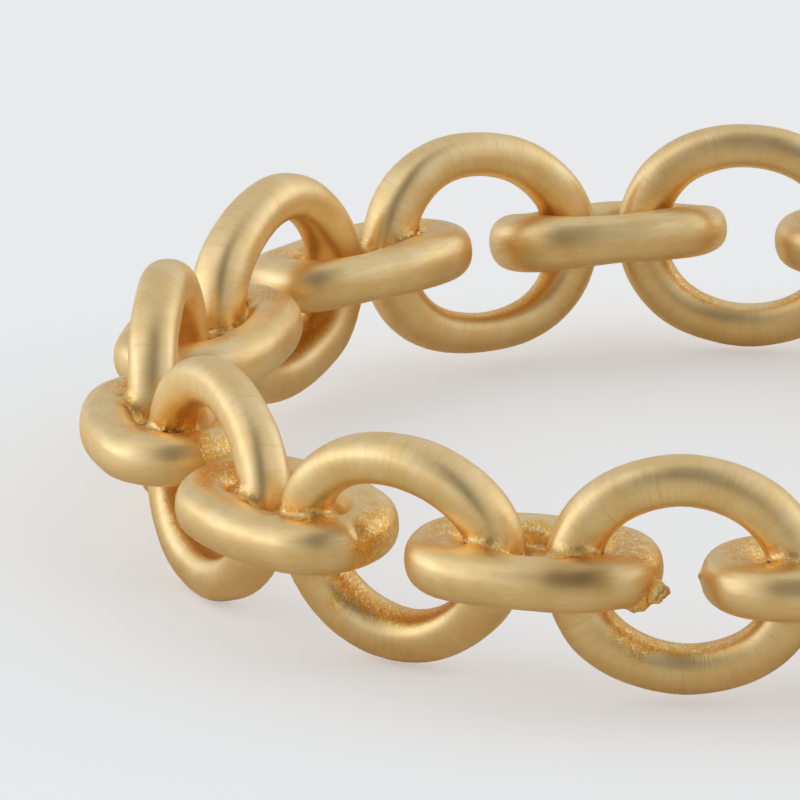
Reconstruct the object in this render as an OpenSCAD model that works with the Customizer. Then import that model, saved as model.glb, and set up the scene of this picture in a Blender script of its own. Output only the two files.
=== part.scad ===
// Chain link ring: a rigid finger ring cast as a closed chain. Upright links stand round the
// finger, and flat links lie at mid-height between them and loop round their limbs. Thin webs
// of cast metal fill the flat links and fix every crossing, so the whole ring is one solid.
// It lies on its side on the floor, its axis along +Z, centred on the origin.

/* [Ring] */
// Inner diameter, between the inner bars of opposite flat links
finger_d = 17.3; // [15:0.1:21]
// Pairs of links round the ring, one upright link and one flat link in each
link_pairs = 12; // [11:1:13]

/* [Upright links] */
// Height of an upright link
upright_h = 4.45; // [4:0.05:5.5]
// Thickness of an upright link's wire
upright_wire = 0.9; // [0.75:0.05:1.05]
// Gap between the rims of neighbouring upright links, where they come closest
rim_gap = 0.33; // [0.2:0.01:0.6]
// Outward tip of the upright links, in degrees
upright_tip = 3; // [0:0.5:5]

/* [Flat links] */
// Width of a flat link, across the ring's wall
flat_w = 3.2; // [3:0.05:3.6]
// Thickness of a flat link's wire
flat_wire = 1; // [0.8:0.05:1.1]
// Gap between the ends of neighbouring flat links, inside an upright link
end_gap = 0.58; // [0.3:0.01:0.8]
// Rise of the flat links' inner bars, in degrees
flat_tip = 2; // [0:0.5:5]

/* [Cast metal] */
// Thickness of the webs of cast metal that fill the flat links
web_t = 0.55; // [0.3:0.05:0.7]

/* [Hidden] */
$fn = 28;

gold = [0.79, 0.62, 0.35];
step = 360 / link_pairs;
ring_r = finger_d / 2 + flat_w / 2;
chord = 2 * ring_r * sin(step / 2);
upright_l = chord - rim_gap;
flat_l = chord - end_gap;

// How each link sits off its even place, as the cast one does. The shifts are shares of the
// link's wire: along the ring, outwards, and up. The angles are degrees: turned about the
// vertical, tipped outwards at the top (an upright link) or up at the inner bar (a flat link),
// and leaned sideways. Row 0 is the front link, and the rows go on round to its right.
ALONG = 0;
OUT = 1;
UP = 2;
TURN = 3;
TIP = 4;
LEAN = 5;
UPRIGHT_SET = [
    [0.02, 0.03, 0.05, 1, -3, -3],
    [0.05, 0, 0, -1, 2, 1],
    [-0.05, 0.05, -0.05, 0, -2, -2],
    [0, -0.05, 0.05, 2, 1, 3],
    [0.1, 0, 0, -2, -3, 0],
    [-0.05, 0.05, 0, 1, 2, -2],
    [0.07, -0.05, -0.04, -2, 3, 1],
    [0.06, 0.05, 0.04, 1, 4, 4.5],
    [-0.21, -0.06, 0.15, 1.5, -1, 2],
    [0.05, -0.02, 0.02, -0.5, 0, 0],
    [0.14, 0.04, -0.11, 0, -6.5, -1.5],
    [-0.01, 0.01, -0.07, 4, 5.5, 5],
];
FLAT_SET = [
    [-0.03, 0, 0, 0, -3.5, -0.5],
    [0, 0.05, -0.05, 1, 1, 1],
    [0.05, -0.05, 0, -1, 2, -1],
    [-0.05, 0, 0.05, 0, -1, 1],
    [0.05, 0.05, 0, 1, 1, -1],
    [-0.18, 0.03, 0, -1, 0, -2],
    [0.07, 0, -0.02, 2, 11, -2.5],
    [0.05, 0.05, 0.06, -1, 2.5, -2],
    [0, -0.14, 0, 0.5, 0.5, 0],
    [0.05, 0.08, -0.05, -1, -1, 1.5],
    [-0.03, 0.08, -0.06, -1, 1, 0],
    [0, 0, 0.1, 0, -0.5, 0],
];
function upright_set(k) = UPRIGHT_SET[k % len(UPRIGHT_SET)];
function flat_set(k) = FLAT_SET[k % len(FLAT_SET)];

// Middle radius of the round wire ring that is stretched into an oval link
function round_r(width, wire) = (width - wire) / 2;

// Places and turns as matrices
function shift_m(v) = [[1, 0, 0, v.x], [0, 1, 0, v.y], [0, 0, 1, v.z], [0, 0, 0, 1]];
function turn_m(a) = [[cos(a), -sin(a), 0, 0], [sin(a), cos(a), 0, 0], [0, 0, 1, 0], [0, 0, 0, 1]];
function tip_m(a) = [[1, 0, 0, 0], [0, cos(a), -sin(a), 0], [0, sin(a), cos(a), 0], [0, 0, 0, 1]];
function lean_m(a) = [[cos(a), 0, sin(a), 0], [0, 1, 0, 0], [-sin(a), 0, cos(a), 0], [0, 0, 0, 1]];
function pose_m(set, tip) = turn_m(set[TURN]) * tip_m(tip + set[TIP]) * lean_m(-set[LEAN]);
function seat_m(angle, set, wire) =
    turn_m(angle) * shift_m([set[ALONG] * wire, -ring_r - set[OUT] * wire, set[UP] * wire]);

// Depth of each upright link under the ring's mid-height, where the lowest stands on the floor
function depth(k) =
    let(
        down = pose_m(upright_set(k), upright_tip)[2],
        stretched = [down[0] * upright_l / upright_h, down[2], down[1]]
    )
    round_r(upright_h, upright_wire) * norm([stretched[0], stretched[1]])
        + upright_wire / 2 * norm(stretched)
        - upright_set(k)[UP] * upright_wire;
mid_z = max([for (k = [0:link_pairs - 1]) depth(k)]);

// A closed oval link lying flat: a round ring of wire, stretched to its length
module oval_link(length, width, wire) {
    scale([length / width, 1, 1])
        rotate_extrude()
            translate([round_r(width, wire), 0])
                circle(d = wire);
}

// The web inside a flat link: an oval plate whose edge is buried in the link's wire
module cast_web() {
    scale([flat_l / flat_w, 1, 1])
        cylinder(h = web_t, r = round_r(flat_w, flat_wire), center = true);
}

// An upright link at its seat on the ring
module upright_link(k) {
    set = upright_set(k);
    multmatrix(seat_m(k * step, set, upright_wire) * pose_m(set, upright_tip))
        rotate([90, 0, 0])
            oval_link(upright_l, upright_h, upright_wire);
}

// A flat link with its web, half a step past the upright link of the same number
module flat_link(k) {
    set = flat_set(k);
    multmatrix(seat_m((k + 0.5) * step, set, flat_wire) * pose_m(set, flat_tip)) {
        oval_link(flat_l, flat_w, flat_wire);
        cast_web();
    }
}

// The whole closed chain, cast in one
module link_band() {
    color(gold)
        translate([0, 0, mid_z])
            for (k = [0:link_pairs - 1]) {
                upright_link(k);
                flat_link(k);
            }
}

link_band();
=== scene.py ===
"""A rigid chain link ring in matte brushed gold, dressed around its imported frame.

The ring is one casting, so one fused mesh stands for the frame's solid. Its shape is worked out
as a field of distances in millimetres: oval links of round wire, webs of cast metal inside the
flat links, fillets where they meet and the slight unevenness of a casting.
"""

import logging
import math
from collections.abc import Callable
from dataclasses import dataclass
from enum import Enum

import bmesh
import bpy
import numpy as np
from mathutils import Matrix, Vector


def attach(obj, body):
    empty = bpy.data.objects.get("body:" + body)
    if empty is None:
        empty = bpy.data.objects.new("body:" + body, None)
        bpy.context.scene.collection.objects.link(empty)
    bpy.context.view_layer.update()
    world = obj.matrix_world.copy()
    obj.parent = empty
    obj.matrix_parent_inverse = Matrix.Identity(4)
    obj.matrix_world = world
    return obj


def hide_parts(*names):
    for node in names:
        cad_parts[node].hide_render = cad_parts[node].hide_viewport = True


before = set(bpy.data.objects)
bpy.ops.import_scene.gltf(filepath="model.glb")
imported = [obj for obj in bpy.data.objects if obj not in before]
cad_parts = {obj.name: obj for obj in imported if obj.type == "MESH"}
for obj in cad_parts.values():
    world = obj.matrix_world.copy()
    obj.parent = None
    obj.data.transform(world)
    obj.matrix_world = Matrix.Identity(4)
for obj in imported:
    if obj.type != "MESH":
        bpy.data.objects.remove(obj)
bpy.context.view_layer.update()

MM = 0.001
# A distance beyond any that matters, in millimetres
FAR = 9.0
LOG = logging.getLogger("ring")


def smooth_step(values: np.ndarray, low: float, high: float) -> np.ndarray:
    """A smooth step from 0 at the low value to 1 at the high one."""
    part = np.clip((values - low) / (high - low), 0, 1)
    return part * part * (3 - 2 * part)


@dataclass(frozen=True)
class Offset:
    """How one link sits off its even place: shares of its wire, then degrees."""

    along: float
    out: float
    up: float
    turn: float
    tip: float
    lean: float


UPRIGHT_OFFSETS = (
    Offset(0.02, 0.03, 0.05, 1, -3, -3),
    Offset(0.05, 0, 0, -1, 2, 1),
    Offset(-0.05, 0.05, -0.05, 0, -2, -2),
    Offset(0, -0.05, 0.05, 2, 1, 3),
    Offset(0.1, 0, 0, -2, -3, 0),
    Offset(-0.05, 0.05, 0, 1, 2, -2),
    Offset(0.07, -0.05, -0.04, -2, 3, 1),
    Offset(0.06, 0.05, 0.04, 1, 4, 4.5),
    Offset(-0.21, -0.06, 0.15, 1.5, -1, 2),
    Offset(0.05, -0.02, 0.02, -0.5, 0, 0),
    Offset(0.14, 0.04, -0.11, 0, -6.5, -1.5),
    Offset(-0.01, 0.01, -0.07, 4, 5.5, 5),
)
FLAT_OFFSETS = (
    Offset(-0.03, 0, 0, 0, -3.5, -0.5),
    Offset(0, 0.05, -0.05, 1, 1, 1),
    Offset(0.05, -0.05, 0, -1, 2, -1),
    Offset(-0.05, 0, 0.05, 0, -1, 1),
    Offset(0.05, 0.05, 0, 1, 1, -1),
    Offset(-0.18, 0.03, 0, -1, 0, -2),
    Offset(0.07, 0, -0.02, 2, 11, -2.5),
    Offset(0.05, 0.05, 0.06, -1, 2.5, -2),
    Offset(0, -0.14, 0, 0.5, 0.5, 0),
    Offset(0.05, 0.08, -0.05, -1, -1, 1.5),
    Offset(-0.03, 0.08, -0.06, -1, 1, 0),
    Offset(0, 0, 0.1, 0, -0.5, 0),
)


@dataclass(frozen=True)
class Wave:
    """A slow wave in a link's wire: its rises round the link, their height, and the first one."""

    rises: int
    height: float
    first: float

    def at(self, angle: np.ndarray) -> np.ndarray:
        """The wave's height at angles round the link."""
        return self.height * np.cos(self.rises * (angle - math.radians(self.first)))


@dataclass(frozen=True)
class Wander:
    """How a cast link differs from its even form, in millimetres and degrees.

    Its seat lies further along, out or up, and it is turned, tipped or leaned. The oval is
    longer, wider, thicker or blunter. Waves push the wire outwards, or make it swell.
    """

    along: float = 0.0
    out: float = 0.0
    up: float = 0.0
    turn: float = 0.0
    tip: float = 0.0
    lean: float = 0.0
    longer: float = 0.0
    wider: float = 0.0
    thicker: float = 0.0
    blunter: float = 0.0
    pushed: tuple[Wave, ...] = ()
    swollen: tuple[Wave, ...] = ()


EVEN = Wander()
UPRIGHT_WANDERS = {
    0: Wander(up=0.03, wider=0.04, thicker=0.07, blunter=0.03, swollen=(Wave(2, 0.025, 10),)),
    6: Wander(up=0.02, wider=0.015, blunter=0.04, swollen=(Wave(2, 0.025, 5),)),
    7: Wander(
        along=0.04,
        out=-0.07,
        up=0.07,
        turn=2,
        tip=-1,
        longer=-0.07,
        wider=0.04,
        thicker=0.015,
        blunter=0.065,
        pushed=(Wave(1, 0.035, -125), Wave(2, 0.05, 25), Wave(3, 0.035, -45)),
        swollen=(Wave(1, 0.02, 50), Wave(2, 0.045, -5)),
    ),
    8: Wander(
        along=0.02,
        up=0.045,
        turn=1,
        tip=1,
        longer=0.05,
        wider=0.045,
        thicker=0.075,
        pushed=(Wave(2, 0.04, 0), Wave(3, 0.04, -30), Wave(4, 0.03, 15)),
        swollen=(Wave(2, 0.03, 10),),
    ),
    9: Wander(out=0.02, up=0.035, turn=-1.5, longer=0.02, thicker=0.015),
    10: Wander(along=0.055, turn=1, pushed=(Wave(3, 0.02, 5),), swollen=(Wave(3, 0.02, 10),)),
    11: Wander(
        along=0.06,
        out=0.08,
        up=0.07,
        turn=1,
        tip=1,
        longer=-0.03,
        wider=0.02,
        thicker=0.07,
        pushed=(Wave(2, 0.035, 60), Wave(3, 0.05, 15)),
        swollen=(Wave(2, 0.025, 30),),
    ),
}
FLAT_WANDERS = {
    0: Wander(up=0.04, tip=-0.5, lean=0.5, longer=0.03),
    5: Wander(along=0.02, tip=1),
    6: Wander(
        along=-0.03,
        out=-0.04,
        up=0.05,
        turn=1.5,
        lean=1.5,
        swollen=(Wave(1, 0.05, -15), Wave(3, 0.035, 15)),
    ),
    7: Wander(along=0.025, up=0.045, tip=3, lean=1, longer=0.07, swollen=(Wave(3, 0.025, 5),)),
    8: Wander(along=0.015, out=0.02, lean=-0.5, longer=0.015, wider=0.02),
    9: Wander(along=0.015, out=0.02, up=0.03, tip=0.5, lean=-0.5, longer=0.015, wider=0.02),
    10: Wander(along=0.02, out=0.035, up=0.02, tip=1),
    11: Wander(along=-0.02, out=0.045, tip=-1, lean=1, wider=-0.015, thicker=-0.015),
}


class LinkKind(Enum):
    """The two ways a link lies in the chain."""

    UPRIGHT = "upright"
    FLAT = "flat"


def smooth_union(first: np.ndarray, second: np.ndarray, reach: float) -> np.ndarray:
    """Joins two distance fields with a rounded fillet.

    Args:
        first: Distances to one shape.
        second: Distances to the other.
        reach: How far from the crossing the fillet begins.

    Returns:
        Distances to both shapes as one.
    """
    near = np.maximum(reach - np.abs(first - second), 0.0) / reach
    return np.minimum(first, second) - near * near * reach * 0.25


def turning(axis: int, degrees: float) -> np.ndarray:
    """The matrix of a turn about X (0), Y (1) or Z (2)."""
    return np.array(Matrix.Rotation(math.radians(degrees), 3, "XYZ"[axis]))


@dataclass(frozen=True)
class Oval:
    """An oval link of round wire, lying flat with its length along X. Sizes in millimetres."""

    length: float
    width: float
    wire: float
    end_share: float

    @property
    def half_length(self) -> float:
        """Half length of the wire's middle line."""
        return (self.length - self.wire) / 2

    @property
    def half_width(self) -> float:
        """Half width of the wire's middle line."""
        return (self.width - self.wire) / 2

    @property
    def end_r(self) -> float:
        """Radius of the middle line's two end arcs."""
        return self.end_share * self.half_width

    @property
    def side_r(self) -> float:
        """Radius of the middle line's two side arcs."""
        straight = self.half_length - self.end_r
        narrow = self.half_width - self.end_r
        return (straight**2 + self.half_width**2 - self.end_r**2) / (2 * narrow)

    @property
    def turn(self) -> float:
        """The angle at which the end arcs meet the side arcs."""
        return math.atan2(self.side_r - self.half_width, self.half_length - self.end_r)

    @property
    def perimeter(self) -> float:
        """Length of the middle line."""
        return 4 * (self.end_r * self.turn + self.side_r * (math.pi / 2 - self.turn))

    def measure(self, x: np.ndarray, y: np.ndarray) -> tuple[np.ndarray, np.ndarray]:
        """Reads points of the link's plane against its middle line.

        Args:
            x: Places along the link.
            y: Places across the link.

        Returns:
            The distance outside the middle line, and the length along it, from the far right end.
        """
        ax, ay = np.abs(x), np.abs(y)
        straight = self.half_length - self.end_r
        drop = self.side_r - self.half_width
        turn = self.turn
        from_side = np.arctan2(ay + drop, ax)
        on_end = from_side < turn
        end_off = np.hypot(ax - straight, ay) - self.end_r
        side_off = np.hypot(ax, ay + drop) - self.side_r
        end_along = self.end_r * np.arctan2(ay, ax - straight)
        side_along = self.end_r * turn + self.side_r * (from_side - turn)
        off = np.where(on_end, end_off, side_off)
        along = np.where(on_end, end_along, side_along)
        quarter = self.perimeter / 4
        along = np.where(x < 0, 2 * quarter - along, along)
        along = np.where(y < 0, 4 * quarter - along, along)
        return off, along


@dataclass
class Lumps:
    """Smooth unevenness in space, the same on every run."""

    size: float
    seed: int
    cells: int = 24

    def __post_init__(self) -> None:
        """Draws the lattice of heights."""
        self.lattice = np.random.default_rng(self.seed).uniform(-1, 1, (self.cells,) * 3)

    def at(self, points: np.ndarray) -> np.ndarray:
        """Reads the unevenness.

        Args:
            points: Points in millimetres.

        Returns:
            Heights from -1 to 1.
        """
        cell = points / self.size
        low = np.floor(cell).astype(int)
        part = cell - low
        part = part**3 * (part * (part * 6 - 15) + 10)
        total = np.zeros(len(points))
        for corner in range(8):
            bits = np.array([corner & 1, corner >> 1 & 1, corner >> 2 & 1])
            place = (low + bits) % self.cells
            weight = np.prod(np.where(bits, part, 1 - part), axis=1)
            total += weight * self.lattice[place[:, 0], place[:, 1], place[:, 2]]
        return total


@dataclass(frozen=True)
class Spot:
    """A place in the ring, or a line from it, in millimetres about the ring's mid-height."""

    place: tuple[float, float, float]
    reach: float
    run: tuple[float, float, float] = (0.0, 0.0, 0.0)

    def share(self, points: np.ndarray) -> np.ndarray:
        """Reads the spot's effect.

        Args:
            points: Points in millimetres, about the ring's mid-height.

        Returns:
            The effect there: 1 on the spot, fading to 0 outside its reach.
        """
        gap = points - np.array(self.place)
        if any(self.run):
            run = np.array(self.run)
            part = np.clip(gap @ run / (run @ run), 0, 1)
            gap = gap - part[:, None] * run
        return np.exp(-np.sum(gap * gap, axis=1) / self.reach**2)


@dataclass(frozen=True)
class Dent:
    """A shallow hollow in the metal, or a bump where its depth is below zero."""

    spot: Spot
    depth: float


@dataclass(frozen=True)
class Flake:
    """A thin flake of a casting burr: a flat plate with straight edges, in millimetres."""

    corners: tuple[tuple[float, float, float], ...]
    thick: float

    def field(self, points: np.ndarray) -> np.ndarray:
        """Measures how far points are from the plate.

        Args:
            points: Points in millimetres, about the ring's mid-height.

        Returns:
            The distances, which are below zero inside the plate.
        """
        corners = np.array(self.corners)
        middle = corners.mean(axis=0)
        axes = np.linalg.svd(corners - middle)[2]
        own = (corners - middle) @ axes.T
        flat = (points - middle) @ axes.T
        far = np.abs(flat[:, 2]) - self.thick / 2
        for start, end in zip(own, np.roll(own, -1, axis=0)):
            run = (end - start)[:2] / np.linalg.norm((end - start)[:2])
            side = np.array([run[1], -run[0]])
            side = side if side @ start[:2] > 0 else -side
            far = np.maximum(far, (flat[:, :2] - start[:2]) @ side)
        return far


# The casting burr at the right end of the front flat link
BURR = (
    Flake(
        (
            (-0.35, -10.64, 0.05),
            (-0.14, -10.67, -0.08),
            (-0.40, -10.76, -0.31),
            (-0.72, -10.80, -0.30),
            (-0.66, -10.66, 0.0),
        ),
        0.2,
    ),
    Flake(
        (
            (-1.04, -10.94, -0.26),
            (-0.88, -10.98, -0.40),
            (-0.71, -11.0, -0.48),
            (-0.60, -10.9, -0.30),
            (-0.72, -10.86, -0.12),
        ),
        0.13,
    ),
)
BURR_SPOT = Spot((-0.55, -10.8, -0.2), 0.75)
# The burr's hollow lip, a nub, two rows for the groove where the brushed face of a front link
# ends, and three pits
DENTS = (
    Dent(Spot((-0.76, -11.0, -0.33), 0.08), 0.09),
    Dent(Spot((0.3, -10.38, 0.11), 0.08), -0.07),
    Dent(Spot((-6.15, -8.72, 0.44), 0.13, (0.23, -0.3, -0.18)), 0.022),
    Dent(Spot((-5.92, -9.02, 0.26), 0.12, (0.07, -0.04, -0.52)), 0.026),
    Dent(Spot((-6.55, 7.46, -0.94), 0.1), 0.05),
    Dent(Spot((1.04, -10.95, -0.13), 0.045), 0.04),
    Dent(Spot((-8.1, -8.35, -0.2), 0.045), 0.03),
)
# Where the mesh is finer: the burr, the groove and a pit
FINE_SPOTS = (
    BURR_SPOT,
    Spot((-5.8, -8.9, 0.1), 0.6),
    Spot((1.04, -10.95, -0.13), 0.12),
)
# Painted shade: a dark reflection on the front flat link, painted into its colour
DARK_REFLECTION_SPOTS = (Spot((-2.15, -11.49, 0.4), 0.28, (0.75, 0.01, -0.03)),)
# Patches where the brush left the metal as cast
CAST_SPOTS = (
    Spot((-5.55, -8.65, 0.25), 0.75),
    Spot((-0.5, -10.5, 0.5), 0.55),
    Spot((-0.6, -10.85, -0.25), 0.42),
    Spot((-2.7, -9.3, 0.3), 0.5),
    Spot((-8.95, -4.6, 0.35), 0.5),
    Spot((-1.05, -10.35, -0.9), 0.4, (0.35, 0.0, -0.3)),
    Spot((0.0, -10.3, -1.4), 0.35),
    Spot((-6.1, -8.42, -1.15), 0.4),
    Spot((5.0, -9.2, 0.3), 0.6),
    Spot((8.6, 5.4, 0.3), 0.6),
    Spot((-4.3, 9.4, 0.35), 0.4),
)


@dataclass(frozen=True)
class Web:
    """The rough cast metal inside a flat link: a thickness in millimetres, and shares of it.

    It lies a little below the wire's mid-height, and a fillet joins it to the wire.
    """

    nominal: float = 0.55
    half_share: float = 0.23
    lump_share: float = 0.13
    drop: float = 0.1
    fillet: float = 0.12


@dataclass
class Link:
    """One oval link at its seat in the ring.

    Its wire is squared by a share of its radius, about the corner's even value. Within the
    wire's core the direction is too unsure for that.
    """

    kind: LinkKind
    oval: Oval
    centre: np.ndarray
    axes: np.ndarray
    wander: Wander
    square: float
    web: Web | None = None
    even_corner: float = 0.35
    wire_core: float = 0.05

    def local(self, points: np.ndarray) -> np.ndarray:
        """Points of the ring as the link's own length, width and height."""
        return (points - self.centre) @ self.axes

    def field(self, points: np.ndarray, lumps: Lumps) -> tuple[np.ndarray, np.ndarray]:
        """Distances to the link's metal.

        Args:
            points: Points in the ring's frame, in millimetres.
            lumps: Unevenness of the cast metal.

        Returns:
            The distances, and each point's place on the wire: along it, outside it and above it.
        """
        own = self.local(points)
        off, along = self.oval.measure(own[:, 0], own[:, 1])
        angle = along * (2 * math.pi / self.oval.perimeter)
        off = off - sum(wave.at(angle) for wave in self.wander.pushed)
        far = np.hypot(off, own[:, 2])
        corner = (2 * off * own[:, 2] / np.maximum(far, self.wire_core) ** 2) ** 2
        radius = self.oval.wire / 2 * (1 + self.square * (corner - self.even_corner))
        wire = far - radius - sum(wave.at(angle) for wave in self.wander.swollen)
        web = self.web
        if web:
            thick = web.nominal * (web.half_share + web.lump_share * lumps.at(points))
            plate = np.maximum(np.abs(own[:, 2] + web.drop) - thick, off)
            wire = smooth_union(wire, plate, web.fillet)
        return wire, np.stack([along, off, own[:, 2]], axis=1)


def surface_net(low: np.ndarray, step: float, values: np.ndarray) -> tuple[np.ndarray, np.ndarray]:
    """Meshes where a grid of distances changes sign, with one vertex in each crossed cell.

    Args:
        low: The grid's lowest corner.
        step: The grid's spacing.
        values: The distances.

    Returns:
        The vertices, and quads of their numbers.
    """
    inside = values < 0
    corners = [(i, j, k) for i in (0, 1) for j in (0, 1) for k in (0, 1)]
    cells = tuple(n - 1 for n in values.shape)
    full = np.zeros(cells, int)
    for i, j, k in corners:
        full += inside[i : i + cells[0], j : j + cells[1], k : k + cells[2]]
    cell = np.argwhere((full > 0) & (full < 8))
    number = np.full(cells, -1)
    number[tuple(cell.T)] = np.arange(len(cell))
    total = np.zeros((len(cell), 3))
    hits = np.zeros(len(cell))
    for first in corners:
        for axis in range(3):
            if first[axis]:
                continue
            second = tuple(1 if i == axis else first[i] for i in range(3))
            a = values[tuple((cell + first).T)]
            b = values[tuple((cell + second).T)]
            crossed = (a < 0) != (b < 0)
            part = np.where(crossed, a / np.where(crossed, a - b, 1), 0)
            place = np.array(first) + part[:, None] * (np.array(second) - first)
            total += np.where(crossed[:, None], place, 0)
            hits += crossed
    vertices = low + step * (cell + total / hits[:, None])
    quads = []
    for axis in range(3):
        one, two = (axis + 1) % 3, (axis + 2) % 3
        ahead = np.roll(inside, -1, axis)
        crossed = np.argwhere(inside != ahead)
        crossed = crossed[(crossed[:, axis] < cells[axis]) & (crossed > 0).any(axis=1)]
        around = []
        for back_one, back_two in ((0, 0), (1, 0), (1, 1), (0, 1)):
            place = crossed.copy()
            place[:, one] -= back_one
            place[:, two] -= back_two
            around.append(number[tuple(place.T)])
        quad = np.stack(around, axis=1)
        outward = inside[tuple(crossed.T)]
        quads.append(np.where(outward[:, None], quad, quad[:, ::-1]))
    return vertices, np.concatenate(quads)


@dataclass
class Skin:
    """The surface of a field of distances, as quads on points that lie exactly on it.

    Its faces are finer where a spot's share is above fine_share. A face counts as folded where
    its way and the field's slope agree by less than folded_below.
    """

    field: Callable[[np.ndarray], np.ndarray]
    points: np.ndarray
    faces: np.ndarray
    normals: np.ndarray | None = None
    relax_rounds: int = 3
    least_slope: float = 0.1
    fine_share: float = 0.4
    folded_below: float = 0.5

    @classmethod
    def over(
        cls,
        field: Callable[[np.ndarray], np.ndarray],
        low: np.ndarray,
        high: np.ndarray,
        step: float,
        hollow: float,
    ) -> "Skin":
        """Finds the surface inside a box.

        Args:
            field: Gives distances at points.
            low: The box's lowest corner.
            high: The box's highest corner.
            step: Spacing of the grid that finds it.
            hollow: Radius about the Z axis within which there is nothing.

        Returns:
            The settled surface.
        """
        size = np.ceil((high - low) / step).astype(int) + 1
        axes = [low[i] + step * np.arange(size[i]) for i in range(3)]
        radii = np.hypot(axes[0][:, None], axes[1][None, :])
        ix, iy = np.nonzero((radii >= hollow) & (radii < min(high[0], high[1])))
        levels = np.arange(size[2])
        ix, iy, iz = np.repeat(ix, size[2]), np.repeat(iy, size[2]), np.tile(levels, len(ix))
        values = np.full(size, FAR)
        values[ix, iy, iz] = field(np.stack([axes[0][ix], axes[1][iy], axes[2][iz]], axis=1))
        skin = cls(field, *surface_net(low, step, values))
        skin.settle(rounds=2)
        for _ in range(skin.relax_rounds):
            skin.relax()
            skin.settle(rounds=1)
        return skin

    def slope(self, points: np.ndarray, step: float = 0.004) -> np.ndarray:
        """Works out the field's gradient, from four readings round each point.

        Args:
            points: Where it is worked out.
            step: How far to each side of a point the field is read.

        Returns:
            The gradients.
        """
        total = np.zeros_like(points)
        for way in ((1, -1, -1), (-1, -1, 1), (-1, 1, -1), (1, 1, 1)):
            shift = np.array(way, float)
            total += self.field(points + step * shift)[:, None] * shift
        return total / (4 * step)

    def settle(self, rounds: int) -> None:
        """Moves the points onto the surface.

        Args:
            rounds: How often they move.
        """
        for _ in range(rounds):
            slope = self.slope(self.points)
            steep = np.maximum(np.sum(slope * slope, axis=1), self.least_slope)
            self.points = self.points - (self.field(self.points) / steep)[:, None] * slope

    def relax(self, share: float = 0.5) -> None:
        """Moves each point towards the middle of its neighbours.

        Args:
            share: How much of the way it moves.
        """
        ends = np.concatenate([self.faces, self.faces[:, [1, 2, 3, 0]]])
        others = np.concatenate([self.faces[:, [1, 2, 3, 0]], self.faces])
        count = len(self.points)
        hits = np.bincount(ends.ravel(), minlength=count)
        for axis in range(3):
            place = self.points[others.ravel(), axis]
            middle = np.bincount(ends.ravel(), weights=place, minlength=count) / hits
            self.points[:, axis] += share * (middle - self.points[:, axis])

    def refined(self, name: str, spots: tuple[Spot, ...], cuts: int) -> bpy.types.Mesh:
        """Makes the mesh, with finer faces round some spots, and finds its normals.

        Args:
            name: The mesh's name.
            spots: Where the faces are cut up.
            cuts: Cuts in each edge there.

        Returns:
            The mesh. The skin's points are moved to match it.
        """
        mesh = bpy.data.meshes.new(name)
        mesh.from_pydata(self.points.tolist(), [], self.faces.tolist())
        work = bmesh.new()
        work.from_mesh(mesh)
        near = np.max([spot.share(self.points) for spot in spots], axis=0) > self.fine_share
        work.verts.ensure_lookup_table()
        edges = [e for e in work.edges if near[e.verts[0].index] and near[e.verts[1].index]]
        bmesh.ops.subdivide_edges(work, edges=edges, cuts=cuts, use_grid_fill=True)
        wide = [face for face in work.faces if len(face.verts) > 4]
        bmesh.ops.triangulate(work, faces=wide)
        work.to_mesh(mesh)
        work.free()
        self.points = np.empty((len(mesh.vertices), 3))
        mesh.vertices.foreach_get("co", self.points.ravel())
        self.settle(rounds=3)
        self.heal(mesh)
        return mesh

    def heal(self, mesh: bpy.types.Mesh, rings: int = 2, rounds: int = 12) -> None:
        """Smooths out the faces that are folded in crevices too narrow for the grid.

        Args:
            mesh: The skin's mesh. Its points are moved to match.
            rings: How many rings of points round the folded faces are smoothed with them.
            rounds: How often each point there moves to the middle of its neighbours.
        """
        edges = np.empty((len(mesh.edges), 2), np.int32)
        mesh.edges.foreach_get("vertices", edges.ravel())
        corners = np.empty(len(mesh.loops), np.int32)
        mesh.loops.foreach_get("vertex_index", corners)
        totals = np.empty(len(mesh.polygons), np.int32)
        mesh.polygons.foreach_get("loop_total", totals)
        owners = np.repeat(np.arange(len(totals)), totals)
        count = len(self.points)
        self.normals = self.slope(self.points)
        self.normals /= np.linalg.norm(self.normals, axis=1)[:, None]
        agree = np.sum(self.facing(mesh)[owners] * self.normals[corners], axis=1)
        folded = np.zeros(count, bool)
        folded[corners[agree < self.folded_below]] = True
        for _ in range(rings):
            beside = edges[folded[edges].any(axis=1)]
            folded[beside.ravel()] = True
        ends, others = np.concatenate([edges, edges[:, ::-1]]).T
        kept = folded[ends]
        ends, others = ends[kept], others[kept]
        hits = np.bincount(ends, minlength=count)[folded]
        for _ in range(rounds):
            for axis in range(3):
                total = np.bincount(ends, weights=self.points[others, axis], minlength=count)
                self.points[folded, axis] = total[folded] / hits
        facing = self.facing(mesh)[owners]
        for axis in range(3):
            total = np.bincount(corners, weights=facing[:, axis], minlength=count)
            self.normals[folded, axis] = total[folded]
        self.normals /= np.linalg.norm(self.normals, axis=1)[:, None]
        LOG.info("healed %d of %d points", folded.sum(), count)

    def facing(self, mesh: bpy.types.Mesh) -> np.ndarray:
        """Puts the points into the mesh, and reads its faces.

        Args:
            mesh: The skin's mesh.

        Returns:
            The way that each face looks.
        """
        mesh.vertices.foreach_set("co", self.points.ravel())
        mesh.update()
        facing = np.empty((len(mesh.polygons), 3))
        mesh.polygons.foreach_get("normal", facing.ravel())
        return facing


@dataclass(frozen=True)
class Roughness:
    """How uneven the casting is: heights in millimetres, and how fine the burr's grit is.

    Grit is full where a second link comes close, and the burr is read where its spot's share
    is above burr_edge.
    """

    lumps: float = 0.012
    swells: float = 0.02
    grit: float = 0.022
    grit_span: tuple[float, float] = (0.4, 0.1)
    burr_grit: float = 0.015
    burr_fineness: float = 1.5
    burr_fillet: float = 0.15
    burr_edge: float = 0.1


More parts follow.
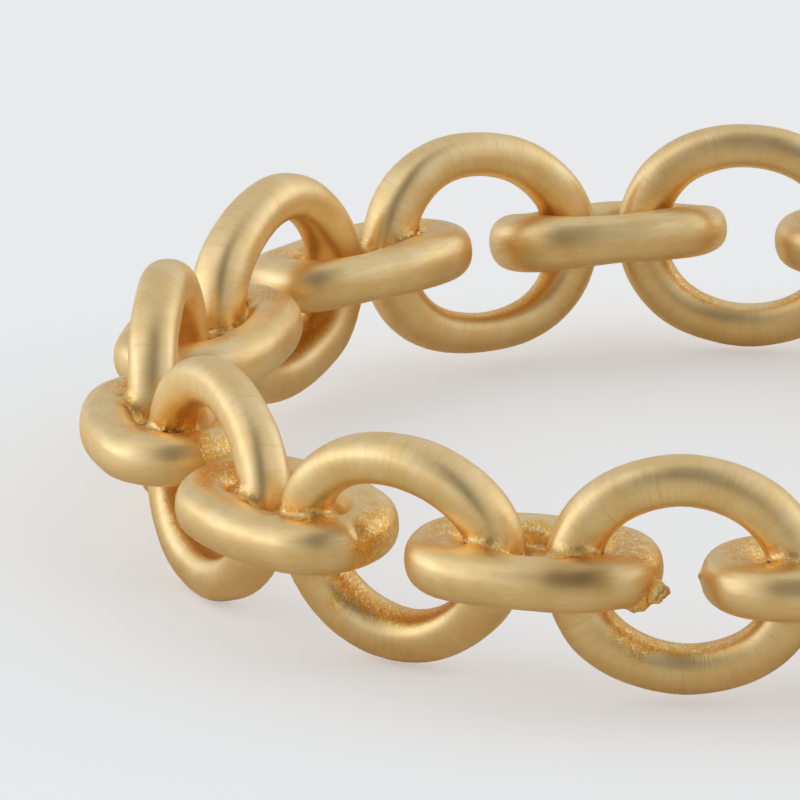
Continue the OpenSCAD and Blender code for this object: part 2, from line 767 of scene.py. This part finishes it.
@dataclass(frozen=True)
class Brushing:
    """Where the brush doesn't reach. A span gives the values where an effect begins and is full.

    An upright link is left as cast on its inner side, most of all low down, and a flat link
    inside and on top near its ends. Joins and single spots add to it, and narrow joins are
    darkened with painted shade.
    """

    inner_span: tuple[float, float] = (0.6, 0.9)
    low_span: tuple[float, float] = (-0.2, -0.9)
    least_rough: float = 0.2
    end_span: tuple[float, float] = (0.8, 1.3)
    inner_weight: float = 0.75
    top_weight: float = 0.6
    top_span: tuple[float, float] = (0.3, 0.6)
    join_span: tuple[float, float] = (0.36, 0.12)
    patch_span: tuple[float, float] = (-0.7, 0.1)
    patch_fineness: float = 1.7
    ragged: float = 0.25
    ragged_fineness: float = 0.6
    spot_span: tuple[float, float] = (0.3, 0.6)
    # Painted shade in narrow joins: darkening begins at this distance to a second link and is full
    # where they touch
    crevice_shade_span: tuple[float, float] = (0.18, 0.0)


@dataclass
class CastBand:
    """The closed chain, cast in one: its sizes in millimetres, its shape and its mesh.

    A link is read up to reading_reach past its ends. The three rooms are left round the metal
    in the box where its surface is looked for.
    """

    finger_d: float = 17.3
    link_pairs: int = 12
    upright_h: float = 4.45
    upright_wire: float = 0.9
    rim_gap: float = 0.33
    upright_end: float = 0.92
    upright_tip: float = 3
    flat_w: float = 3.2
    flat_wire: float = 1.0
    end_gap: float = 0.58
    flat_end: float = 0.89
    flat_tip: float = 2
    web: Web = Web()
    rough: Roughness = Roughness()
    brushing: Brushing = Brushing()
    square: float = 0.05
    fillet: float = 0.15
    brushed_along: float = 0.14
    grid: float = 0.117
    reading_reach: float = 0.9
    side_room: float = 0.5
    top_room: float = 0.6
    inner_room: float = 0.8

    def __post_init__(self) -> None:
        """Seats the links round the ring."""
        self.ring_r = (self.finger_d + self.flat_w) / 2
        chord = 2 * self.ring_r * math.sin(math.pi / self.link_pairs)
        self.forms = {
            LinkKind.UPRIGHT: (
                chord - self.rim_gap,
                self.upright_h,
                self.upright_wire,
                self.upright_end,
            ),
            LinkKind.FLAT: (chord - self.end_gap, self.flat_w, self.flat_wire, self.flat_end),
        }
        self.lumps = Lumps(size=0.75, seed=5)
        self.swells = Lumps(size=2.3, seed=11)
        self.grit = Lumps(size=0.24, seed=3)
        self.links: list[Link] = []
        for k in range(self.link_pairs):
            self.links.append(self.seated(LinkKind.UPRIGHT, k, UPRIGHT_OFFSETS[k]))
            self.links.append(self.seated(LinkKind.FLAT, k, FLAT_OFFSETS[k]))
        self.mid_z = self.upright_h / 2

    def seated(self, kind: LinkKind, k: int, offset: Offset) -> Link:
        """Puts one link at its seat.

        Args:
            kind: Upright or flat.
            k: The pair's number round the ring, from the front.
            offset: How the link sits off its even place.

        Returns:
            The link, about the ring's mid-height.
        """
        upright = kind is LinkKind.UPRIGHT
        number = 2 * k if upright else 2 * k + 1
        more = (UPRIGHT_WANDERS if upright else FLAT_WANDERS).get(k, EVEN)
        length, width, wire, end_share = self.forms[kind]
        oval = Oval(
            length + more.longer,
            width + more.wider,
            wire + more.thicker,
            end_share + more.blunter,
        )
        round_ring = turning(2, number * 180 / self.link_pairs)
        place = np.array([more.along, -self.ring_r - more.out, more.up])
        place += wire * np.array([offset.along, -offset.out, offset.up])
        tip = offset.tip + more.tip + (self.upright_tip if upright else self.flat_tip)
        axes = round_ring @ turning(2, offset.turn + more.turn) @ turning(0, tip)
        axes = axes @ turning(1, -offset.lean - more.lean)
        if upright:
            axes = axes @ turning(0, 90)
        web = None if upright else self.web
        return Link(kind, oval, round_ring @ place, axes, more, self.square, web)

    def field(self, points: np.ndarray) -> np.ndarray:
        """Distances to the fused metal, in the frame of the ring's mid-height."""
        return self.read(points)[0]

    def read(self, points: np.ndarray) -> tuple[np.ndarray, np.ndarray, np.ndarray]:
        """Reads the fused metal at points.

        Args:
            points: Points in millimetres, about the ring's mid-height.

        Returns:
            The distances; the number of the nearest link and the place on its wire; and the
            distances to the second nearest link.
        """
        count = len(points)
        total = np.full(count, FAR)
        nearest = np.full(count, FAR)
        second = np.full(count, FAR)
        wire = np.zeros((count, 4))
        for number, link in enumerate(self.links):
            reach = link.oval.length / 2 + self.reading_reach
            close = np.flatnonzero(np.sum((points - link.centre) ** 2, axis=1) < reach**2)
            if not len(close):
                continue
            own, place = link.field(points[close], self.lumps)
            total[close] = smooth_union(total[close], own, self.fillet)
            first = own < nearest[close]
            second[close] = np.where(first, nearest[close], np.minimum(own, second[close]))
            nearest[close] = np.where(first, own, nearest[close])
            wire[close[first], 0] = number
            wire[close[first], 1:] = place[first]
        rough = self.rough
        uneven = rough.lumps * self.lumps.at(points) + rough.swells * self.swells.at(points)
        uneven += rough.grit * smooth_step(second, *rough.grit_span) * self.grit.at(points)
        for dent in DENTS:
            uneven -= dent.depth * dent.spot.share(points)
        total = total - uneven
        near = np.flatnonzero(BURR_SPOT.share(points) > rough.burr_edge)
        if len(near):
            for flake in BURR:
                grit = self.grit.at(points[near] * rough.burr_fineness)
                spur = flake.field(points[near]) - rough.burr_grit * grit
                total[near] = smooth_union(total[near], spur, rough.burr_fillet)
        return total, wire, second

    def casting(self) -> Skin:
        """Finds the skin of the fused links.

        Returns:
            The skin, about the ring's mid-height.
        """
        reach = self.ring_r + self.flat_w / 2 + self.side_room
        height = self.upright_h / 2 + self.top_room
        hollow = self.finger_d / 2 - self.inner_room
        corner = np.array([reach, reach, height])
        return Skin.over(self.field, -corner, corner, self.grid, hollow)

    def marks(self, points: np.ndarray) -> dict[str, np.ndarray]:
        """What the finish needs to know at points of the skin.

        Args:
            points: Points of the skin, in millimetres about the ring's mid-height.

        Returns:
            The place along the wire as a point of a circle of the wire's length, the place
            across the wire, how far the metal is left as cast, and how far painted shade darkens
            it:
            a dark reflection on the front flat link and the shade of narrow joins. On flat links,
            which are brushed along the wire, the first is drawn together and the second drawn
            apart.
        """
        _, wire, second = self.read(points)
        brushing = self.brushing
        along = np.zeros((len(points), 3))
        across = np.zeros((len(points), 3))
        rough = np.zeros(len(points))
        for number, link in enumerate(self.links):
            own = np.flatnonzero(wire[:, 0] == number)
            radius = link.oval.perimeter / (2 * math.pi)
            angle = wire[own, 1] / radius
            along[own, 0] = radius * np.cos(angle)
            along[own, 1] = radius * np.sin(angle)
            across[own, 0] = wire[own, 2]
            across[own, 1] = wire[own, 3]
            if link.kind is LinkKind.FLAT:
                along[own] *= self.brushed_along
                across[own] /= self.brushed_along
            inner = -wire[own, 2] / (link.oval.wire / 2)
            if link.kind is LinkKind.UPRIGHT:
                least = brushing.least_rough
                low = least + (1 - least) * smooth_step(points[own, 2], *brushing.low_span)
                rough[own] = smooth_step(inner, *brushing.inner_span) * low
            else:
                aside = np.abs(link.local(points[own])[:, 0])
                top = brushing.top_weight * wire[own, 3] / (link.oval.wire / 2)
                top += brushing.inner_weight * inner
                end = smooth_step(aside, *brushing.end_span)
                rough[own] = smooth_step(top, *brushing.top_span) * end
        join = smooth_step(second, *brushing.join_span)
        patch = self.swells.at(points * brushing.patch_fineness)
        cast = np.maximum(join, rough * smooth_step(patch, *brushing.patch_span))
        ragged = brushing.ragged * self.grit.at(points * brushing.ragged_fineness)
        for spot in CAST_SPOTS:
            share = spot.share(points) + ragged
            cast = np.maximum(cast, smooth_step(share, *brushing.spot_span))
        # Painted shade: the dark reflection on the front flat link, and the shade in narrow joins
        painted_shade = np.max([spot.share(points) for spot in DARK_REFLECTION_SPOTS], axis=0)
        painted_shade = np.maximum(painted_shade, smooth_step(second, *brushing.crevice_shade_span))
        return {"along": along, "across": across, "cast": cast, "painted_shade": painted_shade}

    def build(self) -> bpy.types.Object:
        """Builds the fused ring as one piece that stands for the frame's solid.

        Returns:
            The piece, without its finish.
        """
        skin = self.casting()
        mesh = skin.refined("band", FINE_SPOTS, cuts=3)
        marks = self.marks(skin.points)
        self.mid_z = -float(skin.points[:, 2].min())
        points = (skin.points + [0, 0, self.mid_z]) * MM
        mesh.vertices.foreach_set("co", points.ravel())
        mesh.shade_smooth()
        for name, values in marks.items():
            kind = "FLOAT_VECTOR" if values.ndim == 2 else "FLOAT"
            stored = mesh.attributes.new(name, kind, "POINT")
            stored.data.foreach_set("vector" if values.ndim == 2 else "value", values.ravel())
        mesh.normals_split_custom_set_from_vertices(skin.normals.tolist())
        band = bpy.data.objects.new("band", mesh)
        bpy.context.scene.collection.objects.link(band)
        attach(band, "root")
        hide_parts("link_band")
        triangles = sum(len(face.vertices) - 2 for face in mesh.polygons)
        LOG.info("band: %d points, %d triangles", len(points), triangles)
        return band


@dataclass(frozen=True)
class Wiring:
    """Adds shader nodes to a tree and joins them."""

    tree: bpy.types.NodeTree

    def node(self, kind: str, **settings: object) -> bpy.types.Node:
        """Adds a node.

        Args:
            kind: The node's type, without its ShaderNode prefix.
            **settings: Values of the node's own properties.

        Returns:
            The new node.
        """
        made = self.tree.nodes.new("ShaderNode" + kind)
        for name, value in settings.items():
            setattr(made, name, value)
        return made

    def join(self, source: object, target: bpy.types.NodeSocket) -> None:
        """Links a socket to another, or sets the other to a plain value.

        Args:
            source: A socket or a value.
            target: The socket that takes it.
        """
        if isinstance(source, bpy.types.NodeSocket):
            self.tree.links.new(source, target)
        else:
            target.default_value = source

    def sum(self, operation: str, *values: object) -> bpy.types.NodeSocket:
        """Works out one step of arithmetic.

        Args:
            operation: The step's name in a Math node.
            *values: Sockets or numbers.

        Returns:
            The result.
        """
        made = self.node("Math", operation=operation)
        for value, target in zip(values, made.inputs):
            self.join(value, target)
        return made.outputs[0]

    def between(self, mask: object, low: object, high: object) -> bpy.types.NodeSocket:
        """Mixes two numbers, which a Mix node takes at its inputs 2 and 3.

        Args:
            mask: The share of the second one.
            low: A socket or a number.
            high: Another.

        Returns:
            The mix.
        """
        made = self.node("Mix", data_type="FLOAT")
        for value, number in zip((mask, low, high), (0, 2, 3)):
            self.join(value, made.inputs[number])
        return made.outputs[0]

    def tinted(self, mask: object, low: object, high: object) -> bpy.types.NodeSocket:
        """Mixes two colours, which a Mix node takes at its inputs 6 and 7.

        Args:
            mask: The share of the second one.
            low: A socket or a colour.
            high: Another.

        Returns:
            The mix.
        """
        made = self.node("Mix", data_type="RGBA")
        for value, number in zip((mask, low, high), (0, 6, 7)):
            self.join(value, made.inputs[number])
        return made.outputs[2]

    def span(self, value: object, low: float, high: float) -> bpy.types.NodeSocket:
        """Makes a smooth step.

        Args:
            value: A socket or a number.
            low: The value at which the step is 0.
            high: The value at which it is 1.

        Returns:
            The step's height.
        """
        made = self.node("MapRange", interpolation_type="SMOOTHSTEP")
        self.join(value, made.inputs["Value"])
        made.inputs["From Min"].default_value = low
        made.inputs["From Max"].default_value = high
        return made.outputs["Result"]

    def noise(self, place: object, scale: float, detail: float) -> bpy.types.NodeSocket:
        """Adds cloudy noise.

        Args:
            place: Where it is read.
            scale: How fine it is.
            detail: How many finer layers it has.

        Returns:
            The noise, from 0 to 1.
        """
        made = self.node("TexNoise")
        self.join(place, made.inputs["Vector"])
        made.inputs["Scale"].default_value = scale
        made.inputs["Detail"].default_value = detail
        return made.outputs["Fac"]

    def attribute(self, name: str) -> bpy.types.Node:
        """Reads a value that the mesh stores at its vertices."""
        return self.node("Attribute", attribute_name=name)


@dataclass(frozen=True)
class Groups:
    """Shader effects of the finish, each built once.

    Scales are grains or lines to a millimetre, and a mix is the share of its second part. Each
    layer of lines has a scale, and the share of it that is left across the wire.
    """

    fine_scale: float = 24.0
    coarse_scale: float = 7.0
    grain_mix: float = 0.4
    pimple_scale: float = 17.0
    pimple_softness: float = 0.4
    pimple_mix: float = 0.45
    glint_mix: float = 0.35
    glint_span: tuple[float, float] = (0.48, 0.60)
    tone_scale: float = 1.6
    line_layers: tuple[tuple[float, float], ...] = ((24.0, 0.1), (10.0, 0.08))
    line_mix: float = 0.4

    @staticmethod
    def start(
        name: str, inputs: dict[str, str], outputs: dict[str, str]
    ) -> tuple[Wiring, bpy.types.NodeOutputs, bpy.types.NodeInputs]:
        """Opens a new group.

        Args:
            name: The group's name.
            inputs: Its input sockets and their types.
            outputs: Its output sockets and their types.

        Returns:
            The group's wiring, the sockets that it is given, and the sockets that it fills.
        """
        tree = bpy.data.node_groups.new(name, "ShaderNodeTree")
        for way, sockets in (("INPUT", inputs), ("OUTPUT", outputs)):
            for socket, kind in sockets.items():
                tree.interface.new_socket(socket, in_out=way, socket_type="NodeSocket" + kind)
        given = tree.nodes.new("NodeGroupInput").outputs
        filled = tree.nodes.new("NodeGroupOutput").inputs
        return Wiring(tree), given, filled

    def cast_grain(self) -> bpy.types.NodeTree:
        """Builds the pimpled skin of unpolished cast metal.

        Returns:
            The group, which gives a height and a mask of bare high spots.
        """
        outputs = {"Height": "Float", "Glint": "Float"}
        wiring, given, filled = self.start("cast grain", {"Place": "Vector"}, outputs)
        place = given["Place"]
        fine = wiring.noise(place, self.fine_scale, detail=2.0)
        coarse = wiring.noise(place, self.coarse_scale, detail=1.5)
        grains = wiring.node("TexVoronoi", feature="SMOOTH_F1")
        wiring.join(place, grains.inputs["Vector"])
        grains.inputs["Scale"].default_value = self.pimple_scale
        grains.inputs["Smoothness"].default_value = self.pimple_softness
        bumps = wiring.sum("SUBTRACT", 1.0, grains.outputs["Distance"])
        grain = wiring.between(self.grain_mix, fine, coarse)
        wiring.join(wiring.between(self.pimple_mix, grain, bumps), filled["Height"])
        high = wiring.between(self.glint_mix, fine, coarse)
        wiring.join(wiring.span(high, *self.glint_span), filled["Glint"])
        return wiring.tree

    def hand_rub(self) -> bpy.types.NodeTree:
        """Builds the slow changes of tone over a rubbed surface.

        Returns:
            The group.
        """
        wiring, given, filled = self.start("hand rub", {"Place": "Vector"}, {"Tone": "Float"})
        tone = wiring.noise(given["Place"], self.tone_scale, detail=4.0)
        wiring.join(tone, filled["Tone"])
        return wiring.tree

    def brush_lines(self) -> bpy.types.NodeTree:
        """Builds fine scratches, which change quickly along the wire and slowly across it.

        Returns:
            The group, which gives a height.
        """
        inputs = {"Along": "Vector", "Across": "Vector"}
        wiring, given, filled = self.start("brush lines", inputs, {"Height": "Float"})
        along = wiring.node("SeparateXYZ")
        across = wiring.node("SeparateXYZ")
        wiring.join(given["Along"], along.inputs[0])
        wiring.join(given["Across"], across.inputs[0])
        layers = []
        for scale, slow in self.line_layers:
            place = wiring.node("CombineXYZ")
            wiring.join(along.outputs[0], place.inputs[0])
            wiring.join(along.outputs[1], place.inputs[1])
            wiring.join(wiring.sum("MULTIPLY", across.outputs[0], slow), place.inputs[2])
            lines = wiring.node("TexNoise", noise_dimensions="4D")
            wiring.join(place.outputs[0], lines.inputs["Vector"])
            wiring.join(wiring.sum("MULTIPLY", across.outputs[1], slow), lines.inputs["W"])
            lines.inputs["Scale"].default_value = scale
            lines.inputs["Detail"].default_value = 2.0
            layers.append(lines.outputs["Fac"])
        wiring.join(wiring.between(self.line_mix, *layers), filled["Height"])
        return wiring.tree

    @staticmethod
    def placed(wiring: Wiring, group: bpy.types.NodeTree, **inputs: object) -> bpy.types.Node:
        """Puts a group in a material.

        Args:
            wiring: The material's wiring.
            group: The group.
            **inputs: What each of its inputs takes.

        Returns:
            The group's node.
        """
        made = wiring.node("Group")
        made.node_tree = group
        for name, value in inputs.items():
            wiring.join(value, made.inputs[name])
        return made


@dataclass(frozen=True)
class BrushedGold:
    """Matte brushed gold, left as cast where a brush doesn't reach. Depths are in metres."""

    name: str = "brushed gold"
    groups: Groups = Groups()
    light: tuple[float, float, float] = (1.0, 0.765, 0.415)
    rubbed: tuple[float, float, float] = (0.95, 0.69, 0.33)
    scratched: tuple[float, float, float] = (0.88, 0.62, 0.27)
    # Colour of the painted shade: the dark reflection on the front flat link and the shade in
    # narrow joins
    painted_shade_colour: tuple[float, float, float] = (0.58, 0.37, 0.14)
    deep: tuple[float, float, float] = (0.91, 0.52, 0.13)
    glint: tuple[float, float, float] = (1.0, 0.76, 0.40)
    roughness: float = 0.40
    cast_roughness: float = 0.40
    line_depth: float = 5.5e-6
    grain_depth: float = 13e-6
    tone_span: tuple[float, float] = (0.35, 0.65)
    scratch_span: tuple[float, float] = (0.45, 0.7)
    scratch_share: float = 0.6
    scratch_roughness: float = 0.16
    glint_gloss: float = 0.1

    def material(self) -> bpy.types.Material:
        """Builds the finish.

        Returns:
            The material.
        """
        made = bpy.data.materials.new(self.name)
        made.use_nodes = True
        wiring = Wiring(made.node_tree)
        shader = made.node_tree.nodes["Principled BSDF"]
        place = wiring.node("VectorMath", operation="SCALE")
        wiring.join(wiring.node("TexCoord").outputs["Object"], place.inputs[0])
        place.inputs["Scale"].default_value = 1 / MM
        place = place.outputs[0]
        cast = wiring.attribute("cast").outputs["Fac"]
        brushed = Groups.placed(
            wiring,
            self.groups.brush_lines(),
            Along=wiring.attribute("along").outputs["Vector"],
            Across=wiring.attribute("across").outputs["Vector"],
        )
        grain = Groups.placed(wiring, self.groups.cast_grain(), Place=place)
        rub = Groups.placed(wiring, self.groups.hand_rub(), Place=place)
        lines = brushed.outputs["Height"]
        tone = wiring.span(rub.outputs["Tone"], *self.tone_span)
        smooth = wiring.tinted(tone, self.light + (1,), self.rubbed + (1,))
        thin = wiring.sum("MULTIPLY", wiring.span(lines, *self.scratch_span), self.scratch_share)
        smooth = wiring.tinted(thin, smooth, self.scratched + (1,))
        deep = wiring.tinted(grain.outputs["Glint"], self.deep + (1,), self.glint + (1,))
        clean = wiring.tinted(cast, smooth, deep)
        # Painted shade: darkens the colour at the dark reflection and in narrow joins
        painted_shade = wiring.attribute("painted_shade").outputs["Fac"]
        wiring.join(wiring.tinted(painted_shade, clean, self.painted_shade_colour + (1,)), shader.inputs["Base Color"])
        rough = self.scratch_roughness
        worn = wiring.sum("MULTIPLY_ADD", lines, rough, self.roughness - rough / 2)
        glint = grain.outputs["Glint"]
        pitted = wiring.sum("MULTIPLY_ADD", glint, -self.glint_gloss, self.cast_roughness)
        wiring.join(wiring.between(cast, worn, pitted), shader.inputs["Roughness"])
        shader.inputs["Metallic"].default_value = 1.0
        low = wiring.sum("MULTIPLY", lines, self.line_depth)
        high = wiring.sum("MULTIPLY", grain.outputs["Height"], self.grain_depth)
        bump = wiring.node("Bump")
        bump.inputs["Distance"].default_value = 1.0
        wiring.join(wiring.between(cast, low, high), bump.inputs["Height"])
        wiring.join(bump.outputs[0], shader.inputs["Normal"])
        return made


@dataclass(frozen=True)
class PaleFloor:
    """The plain pale floor that the ring lies on. Sizes and places are in metres.

    The camera sees it in a cooler shade, with a glow of its own that evens out the light. The
    gold sees it in a warm tint, painted light that stands in for the light the gold bounces onto
    the floor, with a glow that begins and is full at two places on the left.
    """

    side: float = 3.0
    # Painted light: a warm tint for the light that the gold bounces onto the floor, seen by all
    # but camera rays
    shade: tuple[float, float, float] = (0.84, 0.76, 0.60)
    seen_shade: tuple[float, float, float] = (0.675, 0.685, 0.70)
    seen_glow: float = 0.38
    lit_glow: float = 0.2
    lit_from: float = 0.011
    lit_to: float = 0.02

    def build(self) -> None:
        """Lays the floor."""
        half = self.side / 2
        mesh = bpy.data.meshes.new("floor")
        corners = [(-half, -half, 0), (half, -half, 0), (half, half, 0), (-half, half, 0)]
        mesh.from_pydata(corners, [], [(0, 1, 2, 3)])
        made = bpy.data.materials.new("pale floor")
        made.use_nodes = True
        wiring = Wiring(made.node_tree)
        made.node_tree.nodes.clear()
        seen = wiring.node("LightPath").outputs["Is Camera Ray"]
        matte = wiring.node("BsdfDiffuse")
        # Painted light: rays other than the camera's see the warm bounce tint
        tone = wiring.tinted(seen, self.shade + (1,), self.seen_shade + (1,))
        wiring.join(tone, matte.inputs["Color"])
        even = wiring.node("Emission")
        aside = wiring.node("SeparateXYZ")
        wiring.join(wiring.node("TexCoord").outputs["Object"], aside.inputs[0])
        left = wiring.sum("MULTIPLY", aside.outputs["X"], -1.0)
        lit = wiring.sum("MULTIPLY", wiring.span(left, self.lit_from, self.lit_to), self.lit_glow)
        wiring.join(wiring.between(seen, lit, self.seen_glow), even.inputs["Strength"])
        both = wiring.node("AddShader")
        wiring.join(matte.outputs[0], both.inputs[0])
        wiring.join(even.outputs[0], both.inputs[1])
        wiring.join(both.outputs[0], wiring.node("OutputMaterial").inputs["Surface"])
        mesh.materials.append(made)
        floor = bpy.data.objects.new("floor", mesh)
        bpy.context.scene.collection.objects.link(floor)


@dataclass(frozen=True)
class Glow:
    """A soft patch of light in the studio, by the angles towards it from the ring.

    A strength below zero takes light away, for a dimmer patch.
    """

    azimuth: float
    elevation: float
    tightness: float
    strength: tuple[float, float, float]

    @property
    def direction(self) -> Vector:
        """The way towards the patch. Azimuth 0 is the front, and 90 is the right."""
        azimuth, elevation = math.radians(self.azimuth), math.radians(self.elevation)
        level = math.cos(elevation)
        return Vector((math.sin(azimuth) * level, -math.cos(azimuth) * level, math.sin(elevation)))


@dataclass(frozen=True)
class Gap:
    """The dim upright gap between the soft lights, over the front. It fades out to the back."""

    azimuth: float = 4.0
    tightness: float = 15.0
    depth: float = 0.88
    front_span: tuple[float, float] = (-0.15, 0.35)

    def share(self, wiring: Wiring, way: bpy.types.NodeSocket) -> bpy.types.NodeSocket:
        """Works out how much light is left.

        Args:
            wiring: The world's wiring.
            way: The direction of the light.

        Returns:
            The share that is left in that direction.
        """
        azimuth = math.radians(self.azimuth)
        ahead = wiring.node("VectorMath", operation="DOT_PRODUCT")
        aside = wiring.node("VectorMath", operation="DOT_PRODUCT")
        wiring.join(way, ahead.inputs[0])
        wiring.join(way, aside.inputs[0])
        ahead.inputs[1].default_value = (math.sin(azimuth), -math.cos(azimuth), 0)
        aside.inputs[1].default_value = (math.cos(azimuth), math.sin(azimuth), 0)
        wide = wiring.sum("POWER", aside.outputs["Value"], 2.0)
        near = wiring.sum("EXPONENT", wiring.sum("MULTIPLY", wide, -self.tightness))
        front = wiring.span(ahead.outputs["Value"], *self.front_span)
        dim = wiring.sum("MULTIPLY", near, front)
        return wiring.sum("MULTIPLY_ADD", dim, -self.depth, 1.0)


@dataclass(frozen=True)
class Studio:
    """Soft light from all round: an even base, brighter and dimmer patches on it, and a gap."""

    base: tuple[float, float, float] = (0.56, 0.57, 0.57)
    glows: tuple[Glow, ...] = (
        Glow(-72, 5, 12.0, (1.0, 1.08, 1.25)),
        Glow(-108, 5, 12.0, (0.58, 0.64, 0.76)),
        Glow(-60, 55, 10.0, (0.42, 0.42, 0.42)),
        Glow(108, 5, 12.0, (0.60, 0.65, 0.74)),
        Glow(116, 28, 12.0, (0.22, 0.24, 0.28)),
        Glow(80, 28, 12.0, (0.10, 0.10, 0.10)),
        Glow(60, 45, 24.0, (0.18, 0.17, 0.16)),
        Glow(150, 38, 10.0, (0.12, 0.12, 0.12)),
        Glow(-14, 40, 16.0, (-0.3, -0.35, -0.42)),
    )
    gap: Gap = Gap()

    def build(self) -> None:
        """Sets up the world."""
        world = bpy.data.worlds.new("studio")
        world.use_nodes = True
        bpy.context.scene.world = world
        bpy.context.scene.view_settings.view_transform = "Standard"
        wiring = Wiring(world.node_tree)
        way = wiring.node("TexCoord").outputs["Generated"]
        total: object = self.base
        for glow in self.glows:
            facing = wiring.node("VectorMath", operation="DOT_PRODUCT")
            wiring.join(way, facing.inputs[0])
            facing.inputs[1].default_value = glow.direction
            tight = glow.tightness
            power = wiring.sum("MULTIPLY_ADD", facing.outputs["Value"], tight, -tight)
            light = wiring.node("VectorMath", operation="SCALE")
            light.inputs[0].default_value = glow.strength
            wiring.join(wiring.sum("EXPONENT", power), light.inputs["Scale"])
            added = wiring.node("VectorMath", operation="ADD")
            wiring.join(light.outputs[0], added.inputs[0])
            wiring.join(total, added.inputs[1])
            total = added.outputs[0]
        background = world.node_tree.nodes["Background"]
        wiring.join(total, background.inputs["Color"])
        wiring.join(self.gap.share(wiring, way), background.inputs["Strength"])


@dataclass(frozen=True)
class Viewpoint:
    """The camera, by the angles of its view in radians and the point it looks at, in metres.

    The lens and the sensor are in millimetres. The view slides to the right, looks a little
    below the ring's middle, and is rolled by a small angle.
    """

    azimuth: float = 0.08638
    elevation: float = 0.31836
    distance: float = 0.20116
    lens: float = 487.5
    slide: float = -0.00590933
    below_middle: float = 0.000059
    roll: float = 0.0029
    sensor: float = 36.0
    nearest: float = 0.01

    def build(self, middle: float) -> None:
        """Sets up the camera.

        Args:
            middle: Height of the ring's middle above the floor.
        """
        level = math.cos(self.elevation)
        back = Vector(
            (
                math.sin(self.azimuth) * level,
                -math.cos(self.azimuth) * level,
                math.sin(self.elevation),
            )
        )
        right = Vector((math.cos(self.azimuth), math.sin(self.azimuth), 0))
        up = back.cross(right)
        aim = right * self.slide + Vector((0, 0, middle - self.below_middle))
        turned = math.cos(self.roll) * right + math.sin(self.roll) * up
        risen = math.cos(self.roll) * up - math.sin(self.roll) * right
        data = bpy.data.cameras.new("view")
        data.lens = self.lens
        data.sensor_width = self.sensor
        data.clip_start = self.nearest
        camera = bpy.data.objects.new("view", data)
        pose = Matrix((turned, risen, back)).transposed().to_4x4()
        pose.translation = aim + self.distance * back
        camera.matrix_world = pose
        bpy.context.scene.collection.objects.link(camera)
        bpy.context.scene.camera = camera


def main() -> None:
    """Builds the ring and its stage."""
    logging.basicConfig(level=logging.INFO, format="%(name)s: %(message)s")
    ring = CastBand()
    band = ring.build()
    band.data.materials.append(BrushedGold().material())
    PaleFloor().build()
    Studio().build()
    Viewpoint().build(ring.mid_z * MM)
    bpy.context.view_layer.update()


if __name__ == "__main__":
    main()
